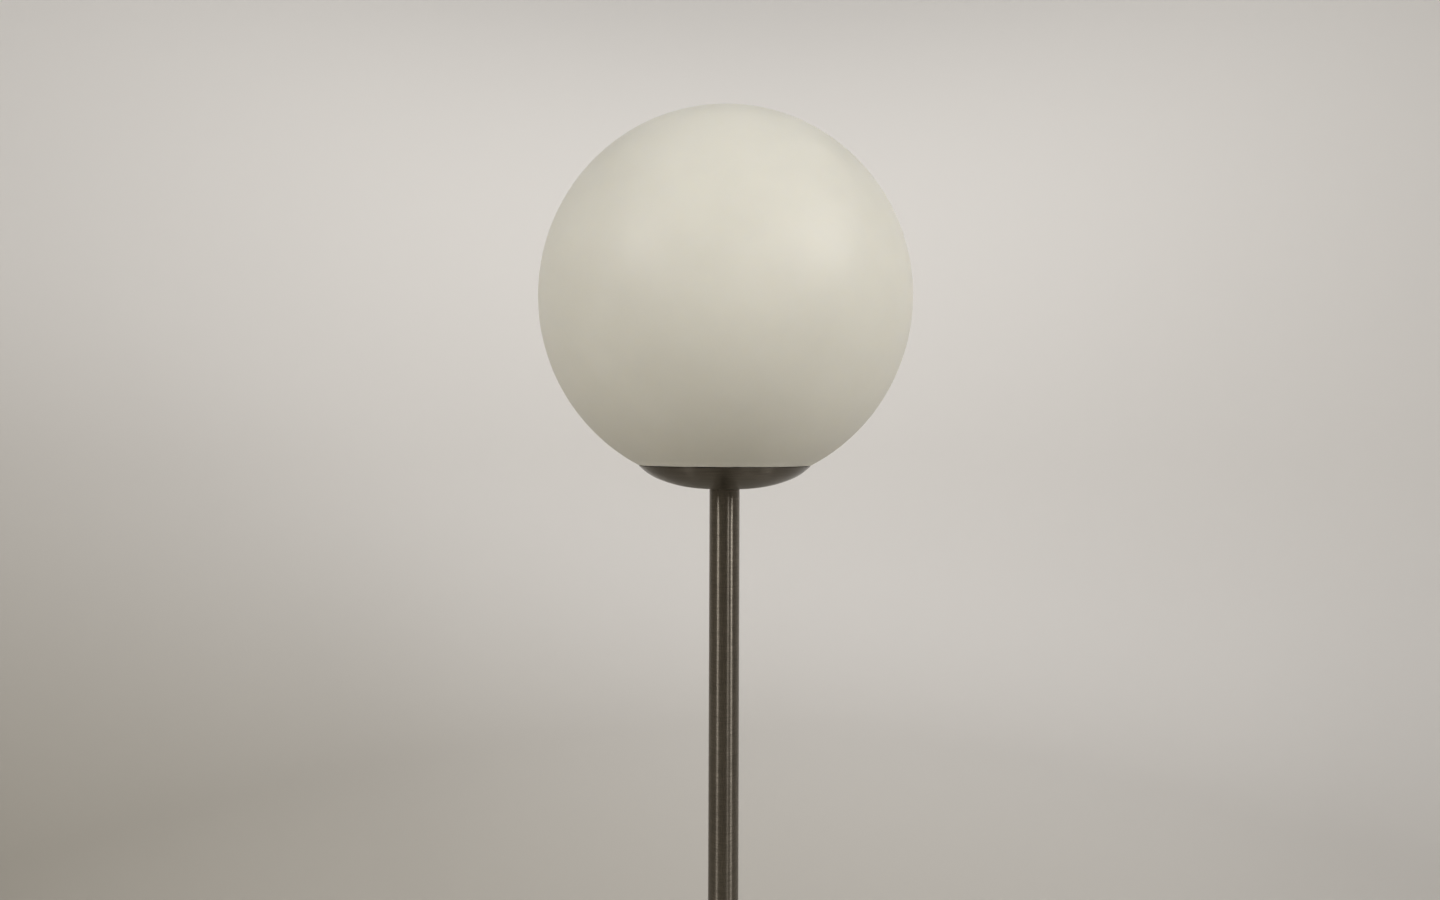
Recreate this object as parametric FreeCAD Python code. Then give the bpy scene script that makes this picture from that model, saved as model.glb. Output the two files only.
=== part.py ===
import FreeCAD, Part
import math
import os

# Globe floor lamp: an opal glass ball on a spun cup, a straight tube and a round weighted base.
# Millimetres, +Z up, origin on the floor under the middle of the base. The cord outlet faces +Y.
# Radii and heights of each turned piece are written as (radius, height).

# Whole lamp
overall_height = 1500.0  # floor to the top of the glass
thread_gap = 0.05  # radial play of a screwed or turned fit
seat_gap = 0.3  # play between pieces that lift apart

# Glass globe
globe_diameter = 300.0
globe_wall = 3.0
mouth_diameter = 141.0  # outer edge of the cut under the globe

# Spun cup under the globe: flat floor, dished flank, tighter knuckle up to the rim
cup_sheet = 1.2
cup_flat_radius = 16.0
cup_dish_radius = 100.0
cup_dish_angle = 23.0  # degrees the dished flank turns through
cup_knuckle_radius = 46.0

# Seat inside the cup's rim, and the sprung spider that grips the glass
seat_ring_thickness = 1.2
seat_ring_inset = 0.2  # ring's edge to the cup's inner face
seat_overlap = 1.4  # how far the ring reaches in past the glass
gasket_thickness = 1.0
gasket_inset = 0.6  # gasket's inner edge behind the ring's
spider_sheet = 0.6
spider_arms = 3
spider_first_arm = 60.0  # degrees from +X
spider_arm_width = 14.0
spider_bend = 2.5  # bend radius at mid-sheet
spider_hub_margin = 0.4  # hub's edge to the edge of the cup's flat floor
spider_hub_run = 8.0  # radius where an arm starts in the hub
spider_bend_start = 14.0  # radius where an arm leaves the hub's plane
spider_elbow_radius = 50.0
spider_elbow_lift = 3.2  # arm's middle above the cup's inner face at the elbow
spider_crest_lift = 2.6  # crest above the glass edge
spider_tip_lift = 8.0  # arm's end above the glass edge
spider_tip_return = 3.8  # how far the end leans back in

# Stem
stem_diameter = 25.0
stem_wall = 1.5
bush_length = 18.0
pipe_radius = 5.0  # threaded pipe that clamps each end of the stem
pipe_bore = 7.6
pipe_grip = 14.0  # length of pipe screwed into a bush
clearance_hole = 5.3  # radius of the holes that the pipe passes through

# Fasteners on the threaded pipe
pipe_nut_flats = 14.0
pipe_nut_height = 3.0
cup_washer_radius = 9.5
cup_washer_thickness = 1.0
tag_thickness = 0.8
tag_radius = 8.5
tag_width = 5.0
tag_reach = 20.0
tag_hole_radius = 1.6
tag_hole_edge = 3.0  # hole's centre to the tab's end
foot_nut_flats = 17.0
foot_nut_height = 5.0
foot_washer_radius = 18.0
foot_washer_thickness = 2.5
lock_washer_radius = 9.0
lock_washer_thickness = 1.0
lock_washer_teeth = 8
lock_washer_notch = 1.4
pipe_end_show = 0.8  # pipe standing out of the foot nut

# Base
base_diameter = 280.0
base_height = 22.0
base_flat_radius = 24.0
crown_radius = 2000.0
shoulder_radius = 7.0
cover_sheet = 1.2
cover_lift = 1.5  # cover's lower edge above the floor
pad_thickness = 2.5
pad_inset = 4.0  # pad's edge to the weight's edge
weight_recess_radius = 24.0
weight_recess_depth = 10.5
channel_width = 9.0
channel_height = 9.0
pocket_width = 13.0
pocket_height = 10.5
pocket_depth = 6.0

# Cord bushing in the base's rear wall
bushing_bore = 6.6
bushing_body_radius = 4.3
bushing_hole_gap = 0.1
bushing_inner_flange = 5.2
bushing_outer_flange = 6.0
bushing_flange_thickness = 1.2
bushing_snout_radius = 4.8
bushing_snout_length = 1.6
bushing_wall_gap = 0.2  # flat flange against the curved wall

# Lampholder for a 27 mm screw cap
holder_radius = 19.5
holder_wall = 1.4
holder_neck_radius = 8.0
holder_neck_length = 9.0
holder_cap_height = 28.0
holder_shell_length = 34.0
holder_spigot_length = 7.0
holder_thread_gap = 0.1
holder_mouth_radius = 15.5
ledge_width = 1.5
insert_gap = 0.2
insert_flange_thickness = 3.0
insert_rise = 8.0  # insert's top above its ledge
screw_shell_sheet = 0.5
screw_shell_length = 23.0
screw_shell_hole = 9.5
leaf_thickness = 0.5
leaf_width = 5.0
leaf_start = -8.0
leaf_bend_start = -5.5
leaf_bend_end = -2.0
leaf_end = 3.0
leaf_bend = 0.8
terminal_width = 6.0
terminal_depth = 7.0
terminal_height = 7.5
terminal_offset = 9.0  # lamp's middle to each terminal's middle
terminal_recess = 2.5  # terminal's face above the insert's underside
terminal_gap = 0.2
terminal_screw_radius = 1.5
terminal_head_radius = 2.6
terminal_head_height = 1.8
neck_screw_radius = 1.5

# Bulb
bulb_length = 110.0
bulb_radius = 30.0
bulb_cap_radius = 13.1
bulb_cap_sheet = 0.3
bulb_cap_length = 20.0
bulb_contact_radius = 4.5
bulb_contact_height = 1.2
bulb_insulator_height = 3.8
bulb_insulator_radius = 10.8
bulb_contact_lift = 3.0  # contact's tip above the lampholder's insert
collar_neck_radius = 14.2
collar_waist_radius = 16.6
collar_waist_height = 12.0
collar_top_radius = 25.4
collar_height = 32.0
dome_wall = 1.4
board_radius = 22.0
board_thickness = 1.6

# Heights and radii that follow
axis = FreeCAD.Vector(0, 0, 1)
origin = FreeCAD.Vector(0, 0, 0)
globe_radius = globe_diameter / 2
globe_inner_radius = globe_radius - globe_wall
mouth_radius = mouth_diameter / 2
globe_centre = overall_height - globe_radius
mouth_drop = math.sqrt(globe_radius**2 - mouth_radius**2)
mouth_height = globe_centre - mouth_drop
mouth_inner_radius = math.sqrt(globe_inner_radius**2 - mouth_drop**2)
rim_height = mouth_height - seat_gap
stem_radius = stem_diameter / 2
stem_bore_radius = stem_radius - stem_wall
base_radius = base_diameter / 2


def spun_centre(profile):
    """Centre of the knuckle arc of a spun profile, as (radius, height above the flat)."""
    flat, dish, knuckle, turn = profile
    return flat + (dish - knuckle) * math.sin(turn), dish - (dish - knuckle) * math.cos(turn)


def spun_point(profile, offset, turn_here):
    """Point of the spun profile where it has turned by turn_here, offset towards its hollow side."""
    flat, dish, knuckle, turn = profile
    if turn_here <= turn:
        across, up, radius = flat, dish, dish - offset
    else:
        across, up = spun_centre(profile)
        radius = knuckle - offset
    return across + radius * math.sin(turn_here), up - radius * math.cos(turn_here)


def spun_height(profile, offset, radius_here):
    """Height of the spun profile above the flat at a radius."""
    flat, dish, knuckle, turn = profile
    if radius_here <= flat:
        return offset
    if radius_here <= spun_point(profile, offset, turn)[0]:
        return dish - math.sqrt((dish - offset) ** 2 - (radius_here - flat) ** 2)
    across, up = spun_centre(profile)
    return up - math.sqrt((knuckle - offset) ** 2 - (radius_here - across) ** 2)


def spun_radius(profile, offset, height_here):
    """Radius of the knuckle at a height above the flat."""
    across, up = spun_centre(profile)
    return across + math.sqrt((profile[2] - offset) ** 2 - (up - height_here) ** 2)


cup_profile = (cup_flat_radius, cup_dish_radius, cup_knuckle_radius, math.radians(cup_dish_angle))
cup_depth = spun_height(cup_profile, 0, mouth_radius)
cup_bottom = rim_height - cup_depth
cup_floor = cup_bottom + cup_sheet
gasket_bottom = mouth_height - gasket_thickness
ring_bottom = gasket_bottom - seat_ring_thickness
seat_inner_radius = mouth_inner_radius - seat_overlap
seat_outer_radius = spun_radius(cup_profile, cup_sheet, ring_bottom - cup_bottom) - seat_ring_inset

spider_top = cup_floor + spider_sheet
cup_washer_top = spider_top + cup_washer_thickness
tag_top = cup_washer_top + tag_thickness
holder_bottom = tag_top + pipe_nut_height

ledge_height = holder_bottom + holder_cap_height
holder_top = ledge_height + holder_shell_length
holder_inner_radius = holder_radius - holder_wall
insert_radius = holder_inner_radius - ledge_width - insert_gap
insert_bottom = ledge_height - holder_spigot_length
insert_top = ledge_height + insert_rise
screw_shell_radius = bulb_cap_radius + seat_gap
bulb_tip = insert_top + bulb_contact_lift
insulator_bottom = bulb_tip + bulb_contact_height
bulb_cap_bottom = insulator_bottom + bulb_insulator_height
collar_bottom = bulb_cap_bottom + bulb_cap_length
collar_top = collar_bottom + collar_height
bulb_top = bulb_tip + bulb_length

crown_turn = math.asin(
    (base_radius - shoulder_radius - base_flat_radius) / (crown_radius - shoulder_radius)
)
base_profile = (base_flat_radius, crown_radius, shoulder_radius, crown_turn)
cover_underside = base_height - cover_sheet
recess_top = pad_thickness + weight_recess_depth
foot_washer_bottom = recess_top - foot_washer_thickness
lock_washer_bottom = foot_washer_bottom - lock_washer_thickness
foot_nut_bottom = lock_washer_bottom - foot_nut_height
outlet_height = pad_thickness + channel_height / 2


def section(start, *moves):
    """Closed face in the XZ plane. A move to a point is a line, a pair is an arc through its first point."""
    edges = []
    here = FreeCAD.Vector(start[0], 0, start[1])
    for move in moves + (start,):
        if isinstance(move[0], tuple):
            middle, end = (FreeCAD.Vector(radius, 0, height) for radius, height in move)
            edges.append(Part.Arc(here, middle, end).toShape())
        else:
            end = FreeCAD.Vector(move[0], 0, move[1])
            edges.append(Part.LineSegment(here, end).toShape())
        here = end
    return Part.Face(Part.Wire(edges))


def turned(start, *moves):
    """Solid turned about the lamp's middle from a closed section."""
    return section(start, *moves).revolve(origin, axis, 360)


def disc(radius, bottom, height):
    return Part.makeCylinder(radius, height, FreeCAD.Vector(0, 0, bottom))


def ring(outer, inner, bottom, height):
    return disc(outer, bottom, height).cut(disc(inner, bottom, height))


def block(width, depth, height, x, y, bottom):
    """Box centred on (x, y), standing on bottom."""
    corner = FreeCAD.Vector(x - width / 2, y - depth / 2, bottom)
    return Part.makeBox(width, depth, height, corner)


def nut(flats, bottom, height):
    """Hexagon nut on the threaded pipe."""
    corner_radius = flats / math.sqrt(3)
    corners = []
    for side in range(7):
        angle = math.radians(60 * side)
        corners.append(
            FreeCAD.Vector(corner_radius * math.cos(angle), corner_radius * math.sin(angle), bottom)
        )
    prism = Part.Face(Part.makePolygon(corners)).extrude(FreeCAD.Vector(0, 0, height))
    return prism.cut(disc(pipe_radius + thread_gap, bottom, height))


def bent_strip(points, bend, thickness, width):
    """Strip that follows a run of (x, z) points at mid-thickness, bent round an arc at each inner point."""
    points = [FreeCAD.Vector(x, 0, z) for x, z in points]
    along = [(end - start).normalize() for start, end in zip(points, points[1:])]
    left = [FreeCAD.Vector(-step.z, 0, step.x) for step in along]
    sides = []
    for offset in (thickness / 2, -thickness / 2):
        edges = []
        here = points[0] + left[0] * offset
        for corner, before, after, normal, next_normal in zip(
            points[1:], along, along[1:], left, left[1:]
        ):
            hand = 1 if normal.dot(after) > 0 else -1
            cut = bend * math.tan(before.getAngle(after) / 2)
            hub = corner - before * cut + normal * (bend * hand)
            to_corner = (corner - hub).normalize()
            arc_start = corner - before * cut + normal * offset
            arc_end = corner + after * cut + next_normal * offset
            arc_middle = hub + to_corner * (bend - hand * offset)
            edges.append(Part.LineSegment(here, arc_start).toShape())
            edges.append(Part.Arc(arc_start, arc_middle, arc_end).toShape())
            here = arc_end
        end = points[-1] + left[-1] * offset
        edges.append(Part.LineSegment(here, end).toShape())
        sides.append((edges, points[0] + left[0] * offset, end))
    (upper, upper_start, upper_end), (lower, lower_start, lower_end) = sides
    closing = [
        Part.LineSegment(upper_end, lower_end).toShape(),
        Part.LineSegment(lower_start, upper_start).toShape(),
    ]
    face = Part.Face(Part.Wire(Part.__sortEdges__(upper + lower + closing)))
    face.translate(FreeCAD.Vector(0, -width / 2, 0))
    return face.extrude(FreeCAD.Vector(0, width, 0))


def opal_globe():
    """Ball of glass, cut off flat where it sits on the cup."""
    middle = FreeCAD.Vector(0, 0, globe_centre)
    ball = Part.makeSphere(globe_radius, middle).cut(Part.makeSphere(globe_inner_radius, middle))
    below_mouth = disc(globe_radius, globe_centre - globe_radius, globe_radius - mouth_drop)
    return ball.cut(below_mouth)


def globe_cup():
    """Spun sheet dish whose rim lines up with the glass."""

    def at(offset, turn_here):
        radius, height = spun_point(cup_profile, offset, turn_here)
        return radius, cup_bottom + height

    dish_turn = cup_profile[3]
    across, up = spun_centre(cup_profile)
    outer_turn = math.asin((mouth_radius - across) / cup_knuckle_radius)
    inner_turn = math.acos((up - cup_depth) / (cup_knuckle_radius - cup_sheet))
    return turned(
        (clearance_hole, cup_bottom),
        (cup_flat_radius, cup_bottom),
        (at(0, dish_turn / 2), at(0, dish_turn)),
        (at(0, (dish_turn + outer_turn) / 2), (mouth_radius, rim_height)),
        at(cup_sheet, inner_turn),
        (at(cup_sheet, (dish_turn + inner_turn) / 2), at(cup_sheet, dish_turn)),
        (at(cup_sheet, dish_turn / 2), (cup_flat_radius, cup_floor)),
        (clearance_hole, cup_floor),
    )


def seat_ring():
    """Flat ring welded inside the cup, just under its rim."""
    return ring(seat_outer_radius, seat_inner_radius, ring_bottom, seat_ring_thickness)


def seat_gasket():
    """Soft ring between the seat and the glass."""
    return ring(seat_outer_radius, seat_inner_radius + gasket_inset, gasket_bottom, gasket_thickness)


def glass_spider():
    """Sprung sheet with arms that come up through the mouth, bulge outwards and hold the glass."""
    middle = cup_floor + spider_sheet / 2
    elbow_height = cup_bottom + spun_height(cup_profile, cup_sheet, spider_elbow_radius)
    crest_radius = mouth_inner_radius - seat_gap - spider_sheet / 2
    arm = bent_strip(
        [
            (spider_hub_run, middle),
            (spider_bend_start, middle),
            (spider_elbow_radius, elbow_height + spider_elbow_lift),
            (crest_radius, mouth_height + spider_crest_lift),
            (crest_radius - spider_tip_return, mouth_height + spider_tip_lift),
        ],
        spider_bend,
        spider_sheet,
        spider_arm_width,
    )
    spider = disc(cup_flat_radius - spider_hub_margin, cup_floor, spider_sheet)
    for number in range(spider_arms):
        angle = spider_first_arm + number * 360 / spider_arms
        spider = spider.fuse(arm.rotated(origin, axis, angle))
    return spider.cut(disc(clearance_hole, cup_floor, spider_sheet)).removeSplitter()


def cup_washer():
    return ring(cup_washer_radius, clearance_hole, spider_top, cup_washer_thickness)


def earth_tag():
    """Ring terminal with a tab for the earth wire."""
    tab = block(tag_reach, tag_width, tag_thickness, tag_reach / 2, 0, cup_washer_top)
    tag = disc(tag_radius, cup_washer_top, tag_thickness).fuse(tab)
    hole = Part.makeCylinder(
        tag_hole_radius, tag_thickness, FreeCAD.Vector(tag_reach - tag_hole_edge, 0, cup_washer_top)
    )
    return tag.cut(hole).cut(disc(clearance_hole, cup_washer_top, tag_thickness)).removeSplitter()


def cup_nut():
    return nut(pipe_nut_flats, tag_top, pipe_nut_height)


def bush(bottom):
    """Turned plug brazed into an end of the stem, threaded for the pipe."""
    return ring(stem_bore_radius - thread_gap, pipe_radius + thread_gap, bottom, bush_length)


def pipe(bottom, top):
    """Hollow threaded pipe, the way for the wires."""
    return ring(pipe_radius, pipe_bore / 2, bottom, top - bottom)


def stem_tube():
    return ring(stem_radius, stem_bore_radius, base_height, cup_bottom - base_height)


def lock_washer():
    """Washer with teeth round its edge."""
    washer = ring(lock_washer_radius, clearance_hole, lock_washer_bottom, lock_washer_thickness)
    for number in range(lock_washer_teeth):
        notch = block(
            lock_washer_notch,
            lock_washer_notch,
            lock_washer_thickness,
            lock_washer_radius,
            0,
            lock_washer_bottom,
        )
        washer = washer.cut(notch.rotated(origin, axis, number * 360 / lock_washer_teeth))
    return washer


def base_cover():
    """Spun sheet cover: flat middle, slightly crowned top, round shoulder and short skirt."""

    def at(offset, turn_here):
        radius, height = spun_point(base_profile, offset, turn_here)
        return radius, base_height - height

    shoulder_turn = (crown_turn + math.pi / 2) / 2
    inner_radius = base_radius - cover_sheet
    cover = turned(
        (clearance_hole, base_height),
        (base_flat_radius, base_height),
        (at(0, crown_turn / 2), at(0, crown_turn)),
        (at(0, shoulder_turn), at(0, math.pi / 2)),
        (base_radius, cover_lift),
        (inner_radius, cover_lift),
        at(cover_sheet, math.pi / 2),
        (at(cover_sheet, shoulder_turn), at(cover_sheet, crown_turn)),
        (at(cover_sheet, crown_turn / 2), (base_flat_radius, cover_underside)),
        (clearance_hole, cover_underside),
    )
    outlet = Part.makeCylinder(
        bushing_body_radius + bushing_hole_gap,
        shoulder_radius,
        FreeCAD.Vector(0, base_radius - shoulder_radius, outlet_height),
        FreeCAD.Vector(0, 1, 0),
    )
    return cover.cut(outlet)


def base_weight():
    """Cast disc that fills the cover, with a nut recess and a channel for the cord underneath."""
    offset = cover_sheet + seat_gap

    def at(turn_here):
        radius, height = spun_point(base_profile, offset, turn_here)
        return radius, base_height - height

    weight = turned(
        (clearance_hole, cover_underside),
        (base_flat_radius, cover_underside),
        at(0),
        (at(crown_turn / 2), at(crown_turn)),
        (at((crown_turn + math.pi / 2) / 2), at(math.pi / 2)),
        (base_radius - offset, pad_thickness),
        (weight_recess_radius, pad_thickness),
        (weight_recess_radius, recess_top),
        (clearance_hole, recess_top),
    )
    channel = block(
        channel_width, base_radius, channel_height, 0, base_radius / 2, pad_thickness
    )
    pocket_middle = base_radius - pocket_depth / 2
    pocket = block(
        pocket_width, pocket_depth, pocket_height, 0, pocket_middle, pad_thickness
    )
    return weight.cut(channel).cut(pocket)


def base_pad():
    """Soft disc under the weight."""
    return disc(base_radius - cover_sheet - seat_gap - pad_inset, 0, pad_thickness)


def cord_bushing():
    """Snap-in bushing: inner flange, body through the cover's wall, outer flange and short snout."""
    bore = bushing_bore / 2
    inner_face = base_radius - cover_sheet - bushing_wall_gap
    inner_end = inner_face - bushing_flange_thickness
    outer_face = base_radius + bushing_wall_gap
    flange_end = outer_face + bushing_flange_thickness
    snout_end = flange_end + bushing_snout_length
    body = turned(
        (bore, inner_end),
        (bushing_inner_flange, inner_end),
        (bushing_inner_flange, inner_face),
        (bushing_body_radius, inner_face),
        (bushing_body_radius, outer_face),
        (bushing_outer_flange, outer_face),
        (bushing_outer_flange, flange_end),
        (bushing_snout_radius, flange_end),
        (bushing_snout_radius, snout_end),
        (bore, snout_end),
    )
    body.rotate(origin, FreeCAD.Vector(1, 0, 0), -90)
    body.translate(FreeCAD.Vector(0, 0, outlet_height))
    return body


def holder_cap():
    """Lower half of the lampholder: neck screwed on the pipe, round shoulder, straight rim."""
    arc_height = holder_bottom + holder_neck_length + holder_radius - holder_neck_radius
    outer_arc = holder_radius - holder_neck_radius
    inner_arc = outer_arc - holder_wall
    half = math.sqrt(0.5)
    shell = turned(
        (pipe_radius + thread_gap, holder_bottom),
        (holder_neck_radius, holder_bottom),
        (holder_neck_radius, arc_height - outer_arc),
        (
            (holder_neck_radius + outer_arc * half, arc_height - outer_arc * half),
            (holder_radius, arc_height),
        ),
        (holder_radius, ledge_height),
        (holder_inner_radius, ledge_height),
        (holder_inner_radius, arc_height),
        (
            (holder_neck_radius + inner_arc * half, arc_height - inner_arc * half),
            (holder_neck_radius, arc_height - inner_arc),
        ),
        (pipe_radius + thread_gap, arc_height - inner_arc),
    )
    screw_hole = Part.makeCylinder(
        neck_screw_radius + thread_gap,
        holder_neck_radius,
        FreeCAD.Vector(0, 0, holder_bottom + holder_neck_length / 2),
        FreeCAD.Vector(1, 0, 0),
    )
    return shell.cut(screw_hole)


def neck_screw():
    """Grub screw that locks the lampholder on the pipe."""
    start = pipe_radius + thread_gap
    return Part.makeCylinder(
        neck_screw_radius,
        holder_neck_radius - start,
        FreeCAD.Vector(start, 0, holder_bottom + holder_neck_length / 2),
        FreeCAD.Vector(1, 0, 0),
    )


def holder_shell():
    """Upper half of the lampholder, screwed into the cap, with a ledge that carries the insert."""
    spigot_radius = holder_inner_radius - holder_thread_gap
    ledge_radius = holder_inner_radius - ledge_width
    return turned(
        (ledge_radius, insert_bottom),
        (spigot_radius, insert_bottom),
        (spigot_radius, ledge_height),
        (holder_radius, ledge_height),
        (holder_radius, holder_top),
        (holder_mouth_radius, holder_top),
        (holder_mouth_radius, holder_top - holder_wall),
        (holder_inner_radius, holder_top - holder_wall),
        (holder_inner_radius, ledge_height),
        (ledge_radius, ledge_height),
    )


def terminal_places():
    """Middle of each terminal, on both sides of the lamp's middle."""
    return (-terminal_offset, terminal_offset)


def holder_insert():
    """Ceramic disc with a flange, pocketed underneath for the terminals."""
    flange_radius = holder_inner_radius - insert_gap
    insert = turned(
        (0, insert_bottom),
        (insert_radius, insert_bottom),
        (insert_radius, ledge_height),
        (flange_radius, ledge_height),
        (flange_radius, ledge_height + insert_flange_thickness),
        (insert_radius, ledge_height + insert_flange_thickness),
        (insert_radius, insert_top),
        (0, insert_top),
    )
    for place in terminal_places():
        pocket = block(
            terminal_width + 2 * terminal_gap,
            terminal_depth + 2 * terminal_gap,
            terminal_recess + terminal_height,
            0,
            place,
            insert_bottom,
        )
        insert = insert.cut(pocket)
    return insert


def terminals():
    """Brass blocks in the insert's pockets, one for each wire."""
    blocks = []
    for place in terminal_places():
        brass = block(
            terminal_width,
            terminal_depth,
            terminal_height,
            0,
            place,
            insert_bottom + terminal_recess,
        )
        hole = Part.makeCylinder(
            terminal_screw_radius + thread_gap,
            terminal_height,
            FreeCAD.Vector(0, place, insert_bottom + terminal_recess),
        )
        blocks.append(brass.cut(hole))
    return Part.makeCompound(blocks)


def terminal_screws():
    """Screw with a flat head for each terminal."""
    screws = []
    for place in terminal_places():
        face = insert_bottom + terminal_recess
        shank = Part.makeCylinder(
            terminal_screw_radius, terminal_height, FreeCAD.Vector(0, place, face)
        )
        head = Part.makeCylinder(
            terminal_head_radius,
            terminal_head_height,
            FreeCAD.Vector(0, place, face - terminal_head_height),
        )
        screws.append(shank.fuse(head))
    return Part.makeCompound(screws)


def screw_shell():
    """Sleeve that takes the bulb's cap, standing on the insert."""
    outer = screw_shell_radius + screw_shell_sheet
    top = insert_top + screw_shell_length
    floor = insert_top + screw_shell_sheet
    return turned(
        (screw_shell_hole, insert_top),
        (outer, insert_top),
        (outer, top),
        (screw_shell_radius, top),
        (screw_shell_radius, floor),
        (screw_shell_hole, floor),
    )


def centre_contact():
    """Sprung leaf on the insert, under the bulb's tip."""
    low = insert_top + leaf_thickness / 2
    high = bulb_tip - seat_gap - leaf_thickness / 2
    return bent_strip(
        [(leaf_start, low), (leaf_bend_start, low), (leaf_bend_end, high), (leaf_end, high)],
        leaf_bend,
        leaf_thickness,
        leaf_width,
    )


def bulb_contact():
    return disc(bulb_contact_radius, bulb_tip, bulb_contact_height)


def bulb_insulator():
    """Glass cone between the bulb's tip and its cap."""
    return turned(
        (0, insulator_bottom),
        (bulb_contact_radius, insulator_bottom),
        (bulb_insulator_radius, bulb_cap_bottom),
        (0, bulb_cap_bottom),
    )


def bulb_cap():
    """Thin sleeve of the screw cap."""
    return ring(bulb_cap_radius, bulb_cap_radius - bulb_cap_sheet, bulb_cap_bottom, bulb_cap_length)


def bulb_collar():
    """Moulded body between the cap and the dome, with a spigot down inside the cap."""
    spigot_radius = bulb_cap_radius - bulb_cap_sheet - thread_gap
    return turned(
        (0, bulb_cap_bottom),
        (spigot_radius, bulb_cap_bottom),
        (spigot_radius, collar_bottom),
        (collar_neck_radius, collar_bottom),
        ((collar_waist_radius, collar_bottom + collar_waist_height), (collar_top_radius, collar_top)),
        (0, collar_top),
    )


def bulb_board():
    """Disc that carries the light source, on top of the collar."""
    return disc(board_radius, collar_top, board_thickness)


def bulb_dome():
    """Hollow diffuser: a half ball that draws in to the collar."""
    middle = bulb_top - bulb_radius
    inner = bulb_radius - dome_wall
    half = math.sqrt(0.5)
    neck_middle = (collar_top_radius + bulb_radius) / 2 + dome_wall / 2
    waist = (collar_top + middle) / 2
    return turned(
        (0, bulb_top),
        ((bulb_radius * half, middle + bulb_radius * half), (bulb_radius, middle)),
        ((neck_middle, waist), (collar_top_radius, collar_top)),
        (collar_top_radius - dome_wall, collar_top),
        ((neck_middle - dome_wall, waist), (inner, middle)),
        ((inner * half, middle + inner * half), (0, bulb_top - dome_wall)),
    )


nodes = {
    "base_pad": base_pad(),
    "base_weight": base_weight(),
    "base_cover": base_cover(),
    "cord_bushing": cord_bushing(),
    "foot_nut": nut(foot_nut_flats, foot_nut_bottom, foot_nut_height),
    "foot_lock_washer": lock_washer(),
    "foot_washer": ring(foot_washer_radius, clearance_hole, foot_washer_bottom, foot_washer_thickness),
    "foot_pipe": pipe(foot_nut_bottom - pipe_end_show, base_height + pipe_grip),
    "foot_bush": bush(base_height),
    "stem_tube": stem_tube(),
    "head_bush": bush(cup_bottom - bush_length),
    "head_pipe": pipe(cup_bottom - pipe_grip, holder_bottom + holder_neck_length),
    "globe_cup": globe_cup(),
    "seat_ring": seat_ring(),
    "seat_gasket": seat_gasket(),
    "glass_spider": glass_spider(),
    "cup_washer": cup_washer(),
    "earth_tag": earth_tag(),
    "cup_nut": cup_nut(),
    "holder_cap": holder_cap(),
    "neck_screw": neck_screw(),
    "holder_shell": holder_shell(),
    "holder_insert": holder_insert(),
    "terminals": terminals(),
    "terminal_screws": terminal_screws(),
    "screw_shell": screw_shell(),
    "centre_contact": centre_contact(),
    "opal_globe": opal_globe(),
    "bulb_contact": bulb_contact(),
    "bulb_insulator": bulb_insulator(),
    "bulb_cap": bulb_cap(),
    "bulb_collar": bulb_collar(),
    "bulb_board": bulb_board(),
    "bulb_dome": bulb_dome(),
}

os.makedirs("parts", exist_ok=True)
for name, shape in nodes.items():
    shape.exportStep("parts/" + name + ".step")
    state = "valid" if shape.isValid() else "NOT VALID"
    print(name, len(shape.Solids), "solids", round(shape.Volume), "mm3", state)
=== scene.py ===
import math

import bmesh
import bpy
import numpy as np
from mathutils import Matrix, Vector


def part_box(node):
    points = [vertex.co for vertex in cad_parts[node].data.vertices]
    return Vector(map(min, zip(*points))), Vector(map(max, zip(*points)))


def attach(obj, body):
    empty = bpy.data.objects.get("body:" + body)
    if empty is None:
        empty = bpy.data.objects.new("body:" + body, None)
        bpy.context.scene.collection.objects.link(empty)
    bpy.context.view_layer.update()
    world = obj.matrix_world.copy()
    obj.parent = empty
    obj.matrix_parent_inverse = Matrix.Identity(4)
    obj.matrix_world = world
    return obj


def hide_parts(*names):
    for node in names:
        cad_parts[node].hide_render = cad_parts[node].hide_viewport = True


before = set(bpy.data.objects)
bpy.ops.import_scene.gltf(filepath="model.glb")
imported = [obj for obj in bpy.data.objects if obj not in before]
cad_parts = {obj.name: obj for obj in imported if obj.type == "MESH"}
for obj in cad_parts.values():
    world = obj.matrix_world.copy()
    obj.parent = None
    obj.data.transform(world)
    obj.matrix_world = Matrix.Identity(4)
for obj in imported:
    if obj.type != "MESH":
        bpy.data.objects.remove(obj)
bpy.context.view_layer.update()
print("stage: frame loaded,", len(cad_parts), "nodes")

# Lengths are in metres, and angles in degrees where no note says radians.
fullTurn = 2 * math.pi  # radians
mergeDistance = 1e-7  # mesh points nearer than this are merged
nearPoints = 1e-5  # profile points nearer than this are one point
onAxis = 1e-9  # a smaller radius is the lamp's middle
sharpEdge = 32  # angle between faces from which an edge is drawn sharp


def lowOf(nodeName):
    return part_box(nodeName)[0].z


def highOf(nodeName):
    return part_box(nodeName)[1].z


def radiusOf(nodeName):
    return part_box(nodeName)[1].x


# The camera stands where the photograph was taken from.
view = {
    "place": (-0.0039, -0.595, 1.2302),  # level with the lower part of the glass
    "roll": -0.2,  # the lamp's top leans a little to the right
    "lens": 18.0,  # this and the next in millimetres
    "sensorWidth": 36.0,
}

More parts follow.
